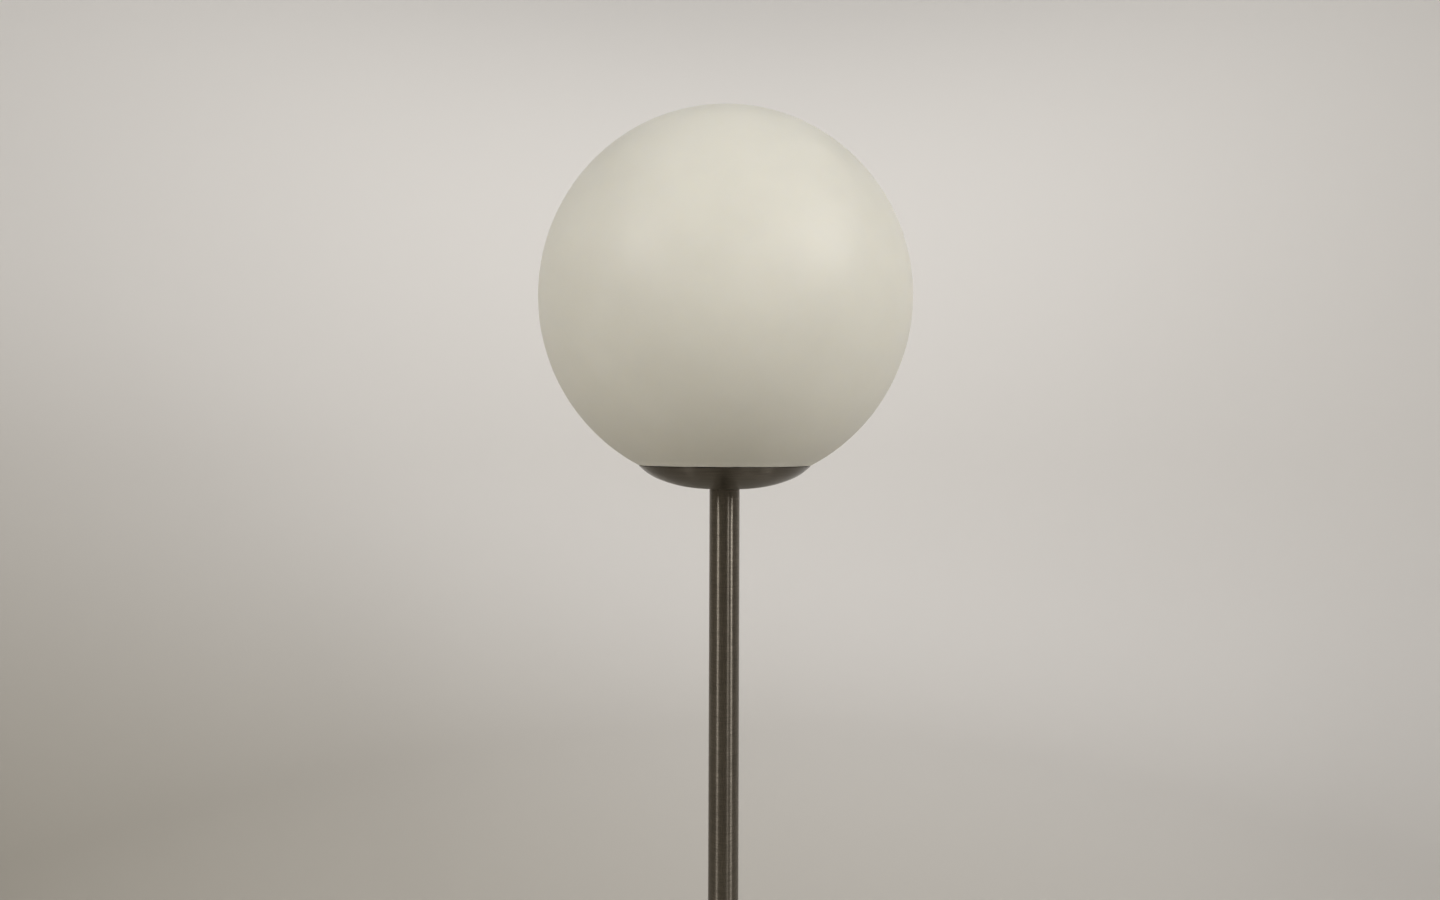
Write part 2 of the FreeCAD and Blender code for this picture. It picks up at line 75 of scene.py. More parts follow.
cameraData = bpy.data.cameras.new("camera")
cameraData.lens = view["lens"]
cameraData.sensor_width = view["sensorWidth"]
camera = bpy.data.objects.new("camera", cameraData)
camera.location = view["place"]
camera.rotation_euler = (math.radians(90), math.radians(view["roll"]), 0)
bpy.context.scene.collection.objects.link(camera)
bpy.context.scene.camera = camera
bpy.context.scene.view_settings.view_transform = "Standard"
print("stage: camera placed")


# A grid of points (rows, columns, 3) as quads: each joins four neighbours, and the last column joins the
# first. The UV map "surface" runs along the rows in metres, then once round from 0 to 1.
def gridMesh(name, points):
    rows, columns = points.shape[:2]
    row, column = np.meshgrid(np.arange(rows - 1), np.arange(columns), indexing="ij")
    beside = (column + 1) % columns
    corners = [row * columns + column, row * columns + beside]
    corners += [(row + 1) * columns + beside, (row + 1) * columns + column]
    mesh = bpy.data.meshes.new(name)
    mesh.from_pydata(points.reshape(-1, 3), [], np.stack(corners, axis=-1).reshape(-1, 4))
    steps = np.linalg.norm(np.diff(points[:, 0], axis=0), axis=-1)
    length = np.concatenate([[0], np.cumsum(steps)])
    along = np.stack([length[row], length[row], length[row + 1], length[row + 1]], axis=-1)
    around = np.stack([column, column + 1, column + 1, column], axis=-1) / columns
    uv = np.stack([along, around], axis=-1).astype(np.float32)
    mesh.uv_layers.new(name="surface").data.foreach_set("uv", uv.ravel())
    return mesh


# Doubles merged and faces turned outwards.
def cleanMesh(mesh):
    work = bmesh.new()
    work.from_mesh(mesh)
    bmesh.ops.remove_doubles(work, verts=work.verts, dist=mergeDistance)
    bmesh.ops.recalc_face_normals(work, faces=work.faces)
    work.to_mesh(mesh)
    work.free()


# The finished object: clean mesh, smooth apart from edges sharper than sharpAngle.
def addPiece(name, mesh, body, material, replaced=(), sharpAngle=sharpEdge):
    cleanMesh(mesh)
    mesh.shade_smooth()
    mesh.set_sharp_from_angle(angle=math.radians(sharpAngle))
    mesh.materials.append(material)
    piece = bpy.data.objects.new(name, mesh)
    bpy.context.scene.collection.objects.link(piece)
    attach(piece, body)
    if replaced:
        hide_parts(*replaced)
    return piece


# Points (radius, height) on a circle between two angles in degrees, 0 outwards and 90 upwards.
def arc(centre, radius, start, end, count):
    angles = np.radians(np.linspace(start, end, count))
    return np.stack([centre[0] + radius * np.cos(angles), centre[1] + radius * np.sin(angles)], axis=-1)


# Points evenly spaced on a straight run.
def run(start, end, count=2):
    return np.linspace(start, end, count)


# Runs of (radius, height) points one after the other, without a point that lies on the one before it.
def endToEnd(*runs):
    profile = np.vstack([np.atleast_2d(points) for points in runs])
    apart = np.linalg.norm(np.diff(profile, axis=0), axis=1) > nearPoints
    return profile[np.concatenate([[True], apart])]


# The same, closed on itself if an end is off the lamp's middle.
def joined(*runs):
    profile = endToEnd(*runs)
    if profile[0, 0] > onAxis or profile[-1, 0] > onAxis:
        profile = np.vstack([profile, profile[:1]])
    return profile


# Profile turned round the lamp's middle: x = radius cos(angle), y = radius sin(angle), z = height. The first
# column is at the back. shape, where given, takes the arrays of radius, height and angle and returns a new
# radius and height, so ribs, flats, threads and chips are functions of height and angle.
def turnedGrid(profile, columns, shape=None):
    angle = (np.arange(columns) * fullTurn / columns + fullTurn / 4)[None, :]
    radius = np.repeat(profile[:, :1], columns, axis=1)
    height = np.repeat(profile[:, 1:], columns, axis=1)
    if shape:
        radius, height = shape(radius, height, angle)
    return np.stack([radius * np.cos(angle), radius * np.sin(angle), height], axis=-1)


# A turned grid laid over, so that its axis runs along Y at the height given: (x, y, z) goes to (x, z, -y).
def laidAlongY(grid, height):
    return np.stack([grid[..., 0], grid[..., 2], height - grid[..., 1]], axis=-1)


# A profile turned into a finished piece.
def turned(name, profile, columns, body, material, replaced=(), shape=None, sharpAngle=sharpEdge):
    mesh = gridMesh(name, turnedGrid(profile, columns, shape))
    return addPiece(name, mesh, body, material, replaced, sharpAngle)


# A Principled material with the sockets given, its node tree and its shader.
def newMaterial(name, color, roughness, metallic=0.0, sockets={}):
    material = bpy.data.materials.new(name)
    material.use_nodes = True
    shader = material.node_tree.nodes["Principled BSDF"]
    shader.inputs["Base Color"].default_value = (*color, 1)
    shader.inputs["Roughness"].default_value = roughness
    shader.inputs["Metallic"].default_value = metallic
    for socket, value in sockets.items():
        shader.inputs[socket].default_value = value
    return material, material.node_tree, shader


# A shader node. Each input is a value, or the socket of another node to link it to.
def addNode(tree, kind, inputs={}, **settings):
    made = tree.nodes.new("ShaderNode" + kind)
    for name, value in settings.items():
        setattr(made, name, value)
    for socket, value in inputs.items():
        if isinstance(value, bpy.types.NodeSocket):
            tree.links.new(value, made.inputs[socket])
        else:
            made.inputs[socket].default_value = value
    return made


# Coordinates in metres, times across in x and y and times along in z. Without along, all three are the same.
def objectVector(tree, across, along=None):
    coordinates = addNode(tree, "TexCoord")
    scale = (across, across, across if along is None else along)
    return addNode(tree, "Mapping", {"Vector": coordinates.outputs["Object"], "Scale": scale}).outputs[0]


# Coordinates for rings round the lamp's middle: (distance from the middle, height) times fine, and a third
# that changes slowly along a ring.
def ringVector(tree, fine, slow):
    coordinates = addNode(tree, "TexCoord")
    parts = addNode(tree, "SeparateXYZ", {0: coordinates.outputs["Object"]})
    flat = addNode(tree, "CombineXYZ", {"X": parts.outputs["X"], "Y": parts.outputs["Y"]})
    distance = addNode(tree, "VectorMath", {0: flat.outputs[0]}, operation="LENGTH")
    sideways = addNode(tree, "Math", {0: parts.outputs["X"], 1: parts.outputs["Y"]}, operation="ADD")
    rings = {"X": distance.outputs["Value"], "Y": parts.outputs["Z"], "Z": sideways.outputs[0]}
    together = addNode(tree, "CombineXYZ", rings)
    return addNode(tree, "Mapping", {"Vector": together.outputs[0], "Scale": (fine, fine, slow)}).outputs[0]


# Noise whose scale is in its coordinates. detail counts octaves, roughness says how strong the fine ones are.
def noise(tree, vector, detail=2.0, roughness=0.5):
    inputs = {"Vector": vector, "Scale": 1.0, "Detail": detail, "Roughness": roughness}
    return addNode(tree, "TexNoise", inputs).outputs["Fac"]


# Value carried from one range to another, and held at its ends.
def ranged(tree, value, low, high, fromLow=0.3, fromHigh=0.7):
    inputs = {"Value": value, "From Min": fromLow, "From Max": fromHigh, "To Min": low, "To Max": high}
    return addNode(tree, "MapRange", inputs).outputs["Result"]


# Two colors mixed by a factor. Inputs 6 and 7 and output 2 are the Mix node's sockets for color.
def mixColors(tree, factor, first, second):
    mix = addNode(tree, "Mix", {0: factor}, data_type="RGBA")
    for socket, color in ((6, first), (7, second)):
        if isinstance(color, bpy.types.NodeSocket):
            tree.links.new(color, mix.inputs[socket])
        else:
            mix.inputs[socket].default_value = (*color, 1)
    return mix.outputs[2]


# Color that runs a share darker and a share lighter than the one given, with a noise.
def variedColor(tree, shader, color, value, share):
    darker = tuple(part * (1 - share) for part in color)
    lighter = tuple(min(part * (1 + share), 1) for part in color)
    mixed = mixColors(tree, ranged(tree, value, 0, 1), darker, lighter)
    tree.links.new(mixed, shader.inputs["Base Color"])
    return mixed


# A bump on the whole surface, height times the distance given.
def addBump(tree, shader, height, distance):
    made = addNode(tree, "Bump", {"Height": height, "Distance": distance, "Strength": 1.0})
    tree.links.new(made.outputs["Normal"], shader.inputs["Normal"])


nickel = {
    "color": (0.205, 0.184, 0.155),
    "roughness": (0.32, 0.40),
    "anisotropy": 1.0,  # the highlight is drawn out across the brushing
    "spunPaintedShade": 0.80,  # painted shade: the spun sheets' colour is the tube's made darker, for the darker look of their reflections
    "lineScale": 2300.0,  # brushing lines to a metre, roughly
    "lineDepth": 0.000006,
    "lineShade": 0.14,
    "lineDrift": (9.0, 16.0),  # changes to a metre along a line, on a spun sheet and on the tube
    "lineDetail": (3.0, 0.6),  # octaves and roughness of the noise
    "coarseScale": 820.0,
    "coarseShade": 0.18,
    "coarseDrift": (60.0, 150.0),
    "coarseDetail": (4.0, 0.7),
    "cloudScale": 22.0,
    "cloudDetail": 3.0,
    "cloudShade": 0.06,
}


# Coordinates for brushing round the lamp's middle, fine across the lines and slow along them.
def brushVector(tree, fine, drift, rings):
    if rings:
        return ringVector(tree, fine, drift[0])
    return objectVector(tree, drift[1], fine)


# Satin nickel brushed round the lamp's middle. rings is true for a spun sheet, whose lines run round at each
# distance from the middle, and false for the tube, whose lines run round at each height.
def satinNickel(name, rings):
    # Painted shade: a spun sheet's colour is the tube's, darkened by spunPaintedShade.
    color = tuple(part * (nickel["spunPaintedShade"] if rings else 1) for part in nickel["color"])
    material, tree, shader = newMaterial(name, color, nickel["roughness"][1], 1.0)
    shader.inputs["Anisotropic"].default_value = nickel["anisotropy"]
    lines = brushVector(tree, nickel["lineScale"], nickel["lineDrift"], rings)
    brushed = noise(tree, lines, *nickel["lineDetail"])
    bands = brushVector(tree, nickel["coarseScale"], nickel["coarseDrift"], rings)
    banded = noise(tree, bands, *nickel["coarseDetail"])
    clouds = noise(tree, objectVector(tree, nickel["cloudScale"]), nickel["cloudDetail"])
    cloudy = variedColor(tree, shader, color, clouds, nickel["cloudShade"])
    dark = ranged(tree, brushed, 1 - nickel["lineShade"], 1 + nickel["lineShade"])
    worn = ranged(tree, banded, 1 - nickel["coarseShade"], 1 + nickel["coarseShade"])
    both = addNode(tree, "Math", {0: dark, 1: worn}, operation="MULTIPLY").outputs[0]
    shaded = addNode(tree, "VectorMath", {0: cloudy, 1: both}, operation="MULTIPLY")
    tree.links.new(shaded.outputs[0], shader.inputs["Base Color"])
    tree.links.new(ranged(tree, banded, *nickel["roughness"]), shader.inputs["Roughness"])
    addBump(tree, shader, brushed, nickel["lineDepth"])
    tangent = addNode(tree, "Tangent", direction_type="UV_MAP", uv_map="surface")
    tree.links.new(tangent.outputs[0], shader.inputs["Tangent"])
    return material


opal = {
    "color": (0.800, 0.782, 0.700),
    "roughness": (0.44, 0.56),
    "subsurface": 0.35,
    "subsurfaceRadius": (1.0, 0.9, 0.7),  # red light goes deepest
    "subsurfaceScale": 0.006,
    "cloudScale": 26.0,
    "cloudDetail": (4.0, 0.55),
    "cloudShade": 0.018,
    "grainScale": 900.0,
    "grainDepth": 0.000004,
    "markScale": 70.0,  # small dull marks, a few to the hand's breadth
    "markShade": 0.06,
    "markEdge": (0.03, 0.055),  # inner and outer radius of a mark, in cells
    "bandHeight": 0.0045,  # painted highlight: over this height just above the cut edge the glass's colour is lifted, for the light slivers along the rim
    "rimHighlightLift": 0.16,
    "bandPatches": 130.0,  # patches of that band, to the metre
    "bandDetail": (3.0, 0.6),
    "bandSpread": 0.7,  # how far its patches run fainter and stronger
}


# Satin opal glass: cream white, faintly clouded, with a very fine etched grain, a few small marks and a
# painted highlight in patches just over its cut edge.
def opalGlass():
    sockets = {
        "Subsurface Weight": opal["subsurface"],
        "Subsurface Radius": opal["subsurfaceRadius"],
        "Subsurface Scale": opal["subsurfaceScale"],
        "IOR": 1.5,
    }
    material, tree, shader = newMaterial("opalGlass", opal["color"], 0.5, 0.0, sockets)
    clouds = noise(tree, objectVector(tree, opal["cloudScale"]), *opal["cloudDetail"])
    cloudy = variedColor(tree, shader, opal["color"], clouds, opal["cloudShade"])
    cells = {"Vector": objectVector(tree, opal["markScale"]), "Randomness": 1.0}
    near = addNode(tree, "TexVoronoi", cells).outputs["Distance"]
    marks = ranged(tree, near, 1 - opal["markShade"], 1.0, *opal["markEdge"])
    # Painted highlight: the colour is lifted in patches just over the cut edge, where the rim shows slivers
    # of light.
    places = addNode(tree, "SeparateXYZ", {0: objectVector(tree, 1)})
    cut = lowOf("opal_globe")
    rise = ranged(tree, places.outputs["Z"], 1.0, 0.0, cut, cut + opal["bandHeight"])
    patches = noise(tree, objectVector(tree, opal["bandPatches"]), *opal["bandDetail"])
    spread = opal["rimHighlightLift"] * opal["bandSpread"]
    lift = ranged(tree, patches, opal["rimHighlightLift"] - spread, opal["rimHighlightLift"] + spread)
    band = addNode(tree, "Math", {0: rise, 1: lift, 2: 1.0}, operation="MULTIPLY_ADD").outputs[0]
    both = addNode(tree, "Math", {0: marks, 1: band}, operation="MULTIPLY").outputs[0]
    marked = addNode(tree, "VectorMath", {0: cloudy, 1: both}, operation="MULTIPLY")
    tree.links.new(marked.outputs[0], shader.inputs["Base Color"])
    grain = noise(tree, objectVector(tree, opal["grainScale"]))
    tree.links.new(ranged(tree, clouds, *opal["roughness"]), shader.inputs["Roughness"])
    addBump(tree, shader, grain, opal["grainDepth"])
    return material


broadSize = 12  # grains across a patch of color and roughness
fineDetail = 3.0
broadDetail = 4.0
glossSpread = 0.15  # share by which roughness runs down and up


# A finish with no direction: a noise that varies color and roughness and raises a fine grain. grain is its
# scale to the metre, depth the height of the grain in metres and share how far the color runs.
def plainFinish(name, color, roughness, metallic, grain, depth, share, sockets={}):
    material, tree, shader = newMaterial(name, color, roughness, metallic, sockets)
    fine = noise(tree, objectVector(tree, grain), fineDetail)
    broad = noise(tree, objectVector(tree, grain / broadSize), broadDetail)
    variedColor(tree, shader, color, broad, share)
    glossy = roughness * (1 - glossSpread)
    dull = min(roughness * (1 + glossSpread), 1)
    tree.links.new(ranged(tree, broad, glossy, dull), shader.inputs["Roughness"])
    addBump(tree, shader, fine, depth)
    return material


# Color, roughness, metallic, grain, depth and share of each.
finishes = {
    "castIron": ((0.060, 0.058, 0.056), 0.62, 0.6, 420, 0.00018, 0.30),
    "padFoam": ((0.035, 0.035, 0.036), 0.92, 0.0, 1500, 0.00020, 0.25),
    "blackPlastic": ((0.022, 0.022, 0.023), 0.34, 0.0, 1800, 0.000006, 0.15),
    "zincSteel": ((0.58, 0.57, 0.53), 0.30, 1.0, 900, 0.000008, 0.12),
    "springSteel": ((0.46, 0.46, 0.47), 0.26, 1.0, 1400, 0.000005, 0.10),
    "gasketRubber": ((0.030, 0.030, 0.030), 0.72, 0.0, 1600, 0.000030, 0.20),
    "brass": ((0.72, 0.52, 0.24), 0.28, 1.0, 800, 0.000006, 0.10),
    "porcelain": ((0.78, 0.76, 0.71), 0.24, 0.0, 500, 0.000010, 0.04),
    "blackGlass": ((0.010, 0.010, 0.012), 0.10, 0.0, 600, 0.000004, 0.10),
    "capMetal": ((0.66, 0.64, 0.58), 0.25, 1.0, 1000, 0.000006, 0.08),
    "whitePlastic": ((0.76, 0.76, 0.74), 0.42, 0.0, 1500, 0.000006, 0.02),
    "boardMetal": ((0.62, 0.63, 0.64), 0.38, 0.9, 1200, 0.000008, 0.08),
    "whiteDiffuser": ((0.82, 0.82, 0.80), 0.50, 0.0, 1300, 0.000004, 0.015),
}

materials = {name: plainFinish(name, *values) for name, values in finishes.items()}
materials["satinTube"] = satinNickel("satinNickelTube", False)
materials["satinSpun"] = satinNickel("satinNickelSpun", True)
materials["opalGlass"] = opalGlass()
print("stage: materials made,", len(materials))


globe = {
    "wall": 0.003,
    "edgeRound": 0.0004,  # the cut edge is ground and a little rounded
    "edgeWave": 0.00016,  # how far the cut wanders up and down
    "waves": ((3, 0.7, 1.0), (11, 2.1, 0.6), (29, 0.0, 0.4)),  # count round the cut, start in radians, share
    "edgeReach": 3,  # the wander dies away over this many edge roundings
    "edgeRows": 6,
    "chips": ((-114.0, 7.0, -0.00016), (-62.0, 8.0, -0.00018), (-83.0, 3.0, 0.00015)),  # angle, width, rise
    "outerRows": 120,
    "innerRows": 48,
    "flatRows": 5,
    "columns": 224,
    "sharpAngle": 50,
}


# Height that the cut edge gains at an angle: the sum of share sin(waves angle + start), and a rise or fall
# for each chip, which dies away as exp(-(2 distance / width) squared).
def cutWander(angle):
    wander = sum(share * np.sin(count * angle + start) for count, start, share in globe["waves"])
    lift = globe["edgeWave"] * (wander / 2 + 1) / 2
    for place, width, rise in globe["chips"]:
        away = np.degrees(np.abs(np.angle(np.exp(1j * (angle - math.radians(place))))))
        lift = lift + rise * np.exp(-((2 * away / width) ** 2))
    return np.maximum(lift, 0)


# Ball whose outer and inner skins are arcs about one centre, joined by the flat cut with rounded corners. The
# skins' lowest rows rise with the wander of the cut.
def makeGlobe():
    low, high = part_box("opal_globe")
    outer = high.x
    inner = outer - globe["wall"]
    centre = high.z - outer
    drop = centre - low.z
    edge = globe["edgeRound"]
    outerEnd = -math.degrees(math.asin((drop - edge) / outer))
    innerEnd = -math.degrees(math.asin((drop - edge) / inner))
    cutOuter = math.sqrt(outer**2 - drop**2)
    cutInner = math.sqrt(inner**2 - drop**2)
    skin = arc((0, centre), outer, 90, outerEnd, globe["outerRows"])
    lining = arc((0, centre), inner, innerEnd, 90, globe["innerRows"])
    corner = skin[-1]
    innerCorner = lining[0]
    bend = np.linspace(0, 1, globe["edgeRows"])[1:-1, None]
    outerTurn = (1 - bend) ** 2 * corner + 2 * bend * (1 - bend) * np.array([cutOuter, low.z])
    outerTurn = outerTurn + bend**2 * np.array([cutOuter - edge, low.z])
    innerTurn = (1 - bend) ** 2 * np.array([cutInner + edge, low.z])
    innerTurn = innerTurn + 2 * bend * (1 - bend) * np.array([cutInner, low.z]) + bend**2 * innerCorner
    flat = run((cutOuter - edge, low.z), (cutInner + edge, low.z), globe["flatRows"])
    skin[0, 0] = 0
    lining[-1, 0] = 0
    profile = joined(skin, outerTurn, flat, innerTurn, lining)

    def chipped(radius, height, angle):
        share = np.clip(1 - (height - low.z) / (globe["edgeReach"] * edge), 0, 1)
        return radius, height + share * cutWander(angle)

    turned(
        "opalGlobe", profile, globe["columns"], "globe", materials["opalGlass"],
        ("opal_globe",), chipped, globe["sharpAngle"],
    )


makeGlobe()
print("stage: glass globe made")


cup = {
    "sheet": 0.0012,
    "flatRadius": 0.016,  # flat floor of the cup
    "dishRadius": 0.100,
    "dishAngle": 23.0,  # that the dish turns before the knuckle starts
    "knuckleRadius": 0.046,
    "holeRadius": 0.0053,
    "rimRound": 0.00012,  # height of the rounded lip
    "flatRows": 6,
    "dishRows": 28,
    "knuckleRows": 22,
    "lipRows": 9,
    "columns": 256,
    "sharpAngle": 40,
}


# Skin of the cup, offset towards its hollow side: flat, then an arc of the dish's radius that turns by
# dishAngle, then an arc of the knuckle's radius up to the height given.
def cupSkin(offset, top):
    turn = cup["dishAngle"]
    sine, cosine = math.sin(math.radians(turn)), math.cos(math.radians(turn))
    bottom = lowOf("globe_cup")
    dishCentre = (cup["flatRadius"], bottom + cup["dishRadius"])
    reach = cup["dishRadius"] - cup["knuckleRadius"]
    knuckleCentre = (cup["flatRadius"] + reach * sine, dishCentre[1] - reach * cosine)
    radius = cup["knuckleRadius"] - offset
    end = -math.degrees(math.asin((knuckleCentre[1] - top) / radius))
    flat = run((cup["holeRadius"], bottom + offset), (cup["flatRadius"], bottom + offset), cup["flatRows"])
    dish = arc(dishCentre, cup["dishRadius"] - offset, -90, -90 + turn, cup["dishRows"])
    knuckle = arc(knuckleCentre, radius, -90 + turn, end, cup["knuckleRows"])
    return endToEnd(flat, dish, knuckle)


# Both skins of the sheet, joined at the rim by a half ellipse rimRound high.
def makeCup():
    rim = highOf("globe_cup")
    edge = cup["rimRound"]
    outside = cupSkin(0.0, rim - edge)
    inside = cupSkin(cup["sheet"], rim - edge)
    middle = (outside[-1] + inside[-1]) / 2
    half = np.linalg.norm(outside[-1] - inside[-1]) / 2
    turns = np.radians(np.linspace(0, 180, cup["lipRows"]))[1:-1]
    lip = np.stack([middle[0] + half * np.cos(turns), middle[1] + edge * np.sin(turns)], axis=-1)
    profile = joined(outside, lip, inside[::-1])
    turned(
        "globeCup", profile, cup["columns"], "stand", materials["satinSpun"],
        ("globe_cup",), None, cup["sharpAngle"],
    )


makeCup()
print("stage: spun cup made")


stem = {"wall": 0.0015, "edge": 0.0003, "rows": 60, "columns": 192}


# Straight tube with a small chamfer at both ends.
def makeStem():
    low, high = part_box("stem_tube")
    outer = high.x
    inner = outer - stem["wall"]
    edge = stem["edge"]
    profile = joined(
        run((outer - edge, low.z), (outer, low.z + edge)),
        run((outer, low.z + edge), (outer, high.z - edge), stem["rows"]),
        run((outer - edge, high.z), (inner, high.z)),
        run((inner, high.z), (inner, low.z), stem["rows"]),
    )
    turned(
        "stemTube", profile, stem["columns"], "stand", materials["satinTube"], ("stem_tube",)
    )


makeStem()
print("stage: stem made")


base = {
    "sheet": 0.0012,
    "flatRadius": 0.024,
    "shoulder": 0.007,  # radius of the rounded edge
    "crown": 2.0,  # radius that the top is arched to
    "holeRadius": 0.0053,
    "outletRadius": 0.0044,  # hole in the skirt that the bushing sits in
    "outletReach": 0.006,  # how far its cutter runs to each side of the skirt
    "outletColumns": 48,
    "flatRows": 6,
    "crownRows": 34,
    "shoulderRows": 20,
    "skirtRows": 5,
    "columns": 320,
}


# Skin of the base's cover, offset inwards: flat middle, crowned top as an arc of the crown's radius, round
# shoulder down to the skirt.
def coverSkin(offset):
    low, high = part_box("base_cover")
    reach = high.x - base["shoulder"] - base["flatRadius"]
    turn = math.degrees(math.asin(reach / (base["crown"] - base["shoulder"])))
    crownCentre = (base["flatRadius"], high.z - base["crown"])
    drop = (base["crown"] - base["shoulder"]) * math.cos(math.radians(turn))
    shoulderCentre = (high.x - base["shoulder"], crownCentre[1] + drop)
    top = high.z - offset
    side = high.x - offset
    flat = run((base["holeRadius"], top), (base["flatRadius"], top), base["flatRows"])
    crown = arc(crownCentre, base["crown"] - offset, 90, 90 - turn, base["crownRows"])
    shoulder = arc(shoulderCentre, base["shoulder"] - offset, 90 - turn, 0, base["shoulderRows"])
    skirt = run((side, shoulderCentre[1]), (side, low.z), base["skirtRows"])
    return endToEnd(flat, crown, shoulder, skirt)


# The cover less a cylinder along Y at the bushing's height, where the cord's outlet is.
def cutOutlet(cover):
    bushingLow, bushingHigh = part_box("cord_bushing")
    middle = (bushingLow.z + bushingHigh.z) / 2
    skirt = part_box("base_cover")[1].y
    near, far = skirt - base["outletReach"], skirt + base["outletReach"]
    profile = np.array([(0, near), (base["outletRadius"], near), (base["outletRadius"], far), (0, far)])
    cutterMesh = gridMesh("outletCutter", laidAlongY(turnedGrid(profile, base["outletColumns"]), middle))
    cleanMesh(cutterMesh)
    cutter = bpy.data.objects.new("outletCutter", cutterMesh)
    bpy.context.scene.collection.objects.link(cutter)
    outlet = cover.modifiers.new("outlet", "BOOLEAN")
    outlet.operation = "DIFFERENCE"
    outlet.solver = "EXACT"
    outlet.object = cutter
    finished = cover.evaluated_get(bpy.context.evaluated_depsgraph_get())
    cut = bpy.data.meshes.new_from_object(finished)
    cover.modifiers.clear()
    cover.data = cut
    cut.set_sharp_from_angle(angle=math.radians(sharpEdge))
    bpy.data.objects.remove(cutter)
    bpy.data.meshes.remove(cutterMesh)


# Both skins of the cover, joined at its hole and at its lower edge.
def makeCover():
    profile = joined(coverSkin(0.0), coverSkin(base["sheet"])[::-1])
    cover = turned(
        "baseCover", profile, base["columns"], "stand", materials["satinSpun"],
        ("base_cover",),
    )
    before = len(cover.data.polygons)
    cutOutlet(cover)
    print("stage: outlet cut in the cover,", before, "faces before and", len(cover.data.polygons), "after")


makeCover()
print("stage: base cover made")


holder = {
    "wall": 0.0014,
    "neckRadius": 0.008,
    "neckLength": 0.009,
    "boreRadius": 0.00505,
    "mouthRadius": 0.0155,
    "ledge": 0.0015,  # how far it stands in from the wall
    "ribs": 40,  # grip ribs round the shell
    "ribDepth": 0.00045,
    "ribMargin": 0.004,  # plain band above and below the ribs
    "ribFade": 0.0008,  # height over which a rib runs out
    "fit": 0.0001,  # play between cap and shell
    "round": 0.0006,  # of the neck's foot
    "topRound": 0.0013,
    "cornerRow": 0.0003,  # height of the first row, which keeps the corner crisp
    "mouthChamfer": 0.0004,
    "ribRows": 30,
    "bandRows": 4,  # of each plain band
    "topRows": 8,
    "columns": 320,
    "sharpAngle": 50,  # so that the ribs have no drawn edge
    "neckRows": 5,  # of the cap's rounded foot
    "shoulderRows": 20,
    "rimRows": 6,
    "liningRows": 16,
    "capColumns": 160,
}


# Radius less a groove between ribs, (1 - cos(ribs angle)) / 2 deep in ribDepth, on the shell's outer face
# between its two plain bands.
def ribbed(low, high, face):
    def shape(radius, height, angle):
        fade = holder["ribFade"]
        inBand = np.clip((height - low) / fade, 0, 1) * np.clip((high - height) / fade, 0, 1)
        groove = (1 - np.cos(holder["ribs"] * angle)) / 2
        onFace = radius > face - holder["fit"]
        return radius - holder["ribDepth"] * groove * inBand * onFace, height
    return shape


# Neck, quarter-round shoulder and straight rim, with the wall's thickness inside.
def makeHolderCap():
    low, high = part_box("holder_cap")
    outer = high.x
    reach = outer - holder["neckRadius"]
    centre = (holder["neckRadius"], low.z + holder["neckLength"] + reach)
    thin = reach - holder["wall"]
    edge = holder["round"]
    profile = joined(
        run((holder["boreRadius"], low.z), (holder["neckRadius"] - edge, low.z)),
        arc((holder["neckRadius"] - edge, low.z + edge), edge, -90, 0, holder["neckRows"]),
        (holder["neckRadius"], centre[1] - reach),
        arc(centre, reach, -90, 0, holder["shoulderRows"]),
        run((outer, centre[1]), (outer, high.z), holder["rimRows"]),
        (outer - holder["wall"], high.z),
        arc(centre, thin, 0, -90, holder["liningRows"]),
        (holder["boreRadius"], centre[1] - thin),
    )
    turned(
        "holderCap", profile, holder["capColumns"], "stand", materials["blackPlastic"],
        ("holder_cap",),
    )


# Ribbed sleeve with a rounded top edge, a mouth for the bulb's cap and a ledge inside.
def makeHolderShell():
    low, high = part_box("holder_shell")
    outer = high.x
    inner = outer - holder["wall"]
    spigot = inner - holder["fit"]
    shoulder = highOf("holder_cap")
    edge = holder["topRound"]
    ribLow = shoulder + holder["ribMargin"]
    ribHigh = high.z - holder["ribMargin"]
    mouth = holder["mouthRadius"]
    chamfer = holder["mouthChamfer"]
    under = high.z - holder["wall"]
    ledge = inner - holder["ledge"]
    profile = joined(
        (ledge, low.z), (spigot, low.z), (spigot, shoulder), (outer, shoulder),
        run((outer, shoulder + holder["cornerRow"]), (outer, ribLow), holder["bandRows"]),
        run((outer, ribLow), (outer, ribHigh), holder["ribRows"]),
        run((outer, ribHigh), (outer, high.z - edge), holder["bandRows"]),
        arc((outer - edge, high.z - edge), edge, 0, 90, holder["topRows"]),
        (mouth + chamfer, high.z), (mouth, high.z - chamfer), (mouth, under), (inner, under),
        (inner, shoulder), (ledge, shoulder),
    )
    turned(
        "holderShell", profile, holder["columns"], "stand", materials["blackPlastic"],
        ("holder_shell",), ribbed(ribLow, ribHigh, outer), holder["sharpAngle"],
    )


